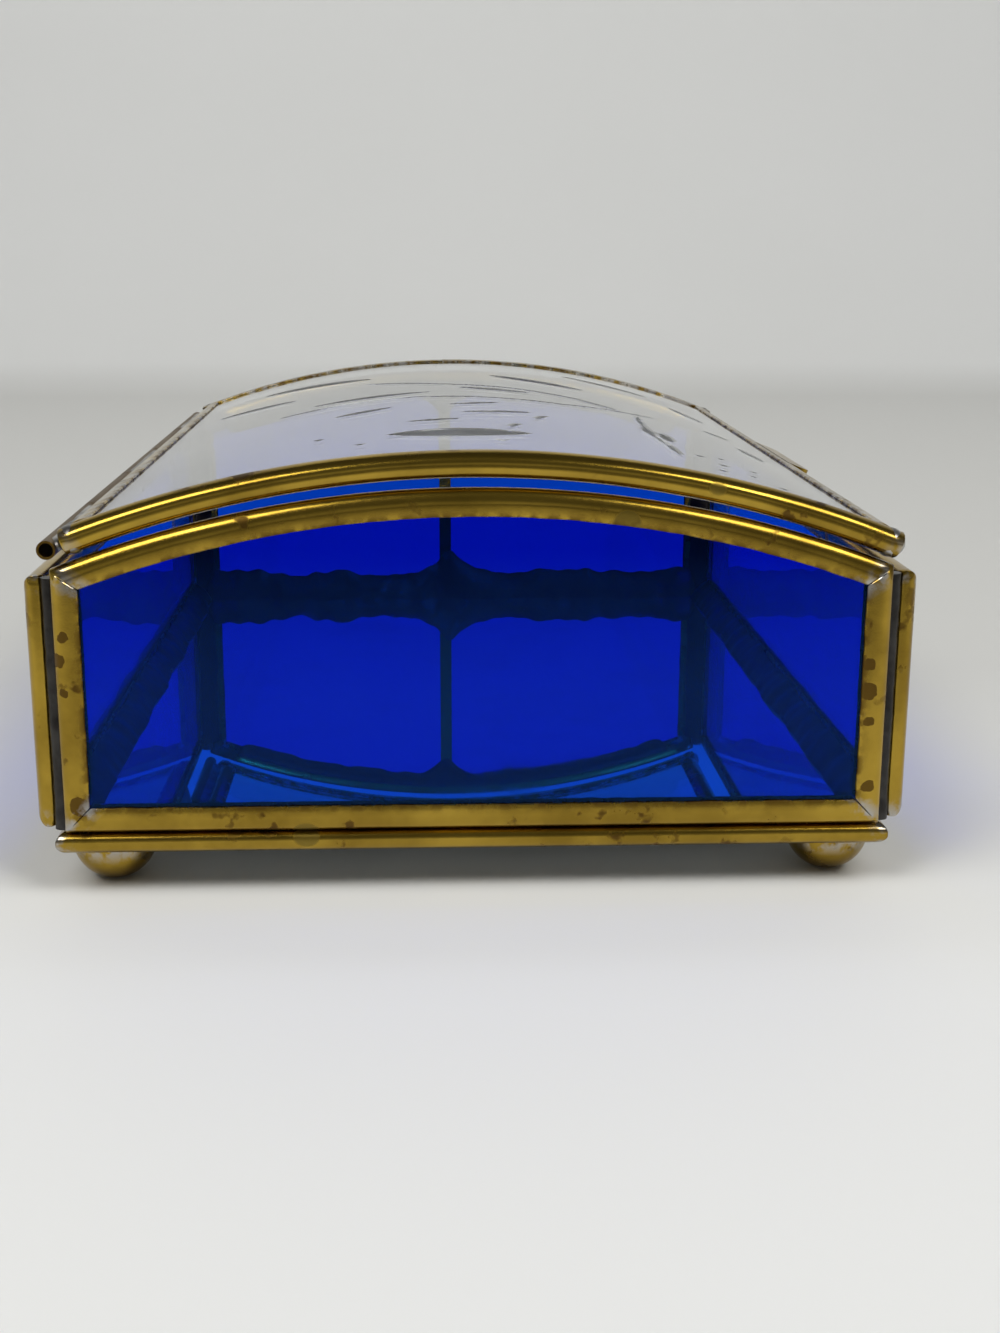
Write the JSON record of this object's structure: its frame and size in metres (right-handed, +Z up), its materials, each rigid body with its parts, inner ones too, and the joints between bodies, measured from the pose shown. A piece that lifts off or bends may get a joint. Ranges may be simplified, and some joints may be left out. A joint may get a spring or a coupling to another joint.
{
  "type": "glass casket box",
  "caption": "Glass casket with blue panes in brass channel, a mirror floor on domed feet and a curved clear engraved lid on a tube hinge.",
  "frame": {"origin": "on the surface it stands on, under the middle of the box", "axes": "+X towards the side that opens, +Y from the front end to the back end, +Z up"},
  "size_m": [0.114, 0.152, 0.0579],
  "materials": {
    "brass": "aged, half polished, with brown tarnish spots",
    "solder": "grey tin solder with hand-drawn waves",
    "cobalt_glass": "smooth deep blue glass",
    "clear_glass": "smooth clear glass with cut and frosted sprays",
    "mirror": "silvered glass",
    "pin_steel": "plain drawn wire"
  },
  "bodies": {
    "casket": {"base_mirror": "mirror", "base_rail_front": "brass", "base_rail_back": "brass", "base_rail_left": "brass", "base_rail_right": "brass", "foot_front_left": "brass", "foot_front_right": "brass", "foot_back_left": "brass", "foot_back_right": "brass", "foot_solder": "solder", "front_glass": "cobalt_glass", "front_sill": "brass", "front_post_left": "brass", "front_post_right": "brass", "front_arch": "brass", "back_glass_left": "cobalt_glass", "back_glass_right": "cobalt_glass", "back_mullion": "brass", "back_sill": "brass", "back_post_left": "brass", "back_post_right": "brass", "back_arch": "brass", "back_arch_bead": "solder", "left_glass": "cobalt_glass", "left_top_rail": "brass", "left_bottom_rail": "brass", "left_post_front": "brass", "left_post_back": "brass", "right_glass": "cobalt_glass", "right_top_rail": "brass", "right_bottom_rail": "brass", "right_post_front": "brass", "right_post_back": "brass", "seam_front_left": "solder", "seam_front_right": "solder", "seam_back_left": "solder", "seam_back_right": "solder", "floor_bead_front": "solder", "floor_bead_back": "solder", "floor_bead_left": "solder", "floor_bead_right": "solder", "hinge_tube_body_front": "brass", "hinge_tube_body_back": "brass", "hinge_solder_body": "solder"},
    "lid": {"lid_glass": "clear_glass", "lid_arch_front": "brass", "lid_arch_back": "brass", "lid_rail_left": "brass", "lid_rail_right": "brass", "lid_corner_solder": "solder", "lift_tab": "brass", "tab_solder": "solder", "hinge_tube_lid_front": "brass", "hinge_tube_lid_middle": "brass", "hinge_tube_lid_back": "brass", "hinge_pin": "pin_steel", "hinge_solder_lid": "solder"}
  },
  "joints": [
    {"name": "lid_hinge", "type": "hinge", "parent": "casket", "child": "lid", "pos_m": [-0.05303, 0, 0.04574], "axis": [0, -1, 0], "range_deg": [0, 160]}
  ]
}
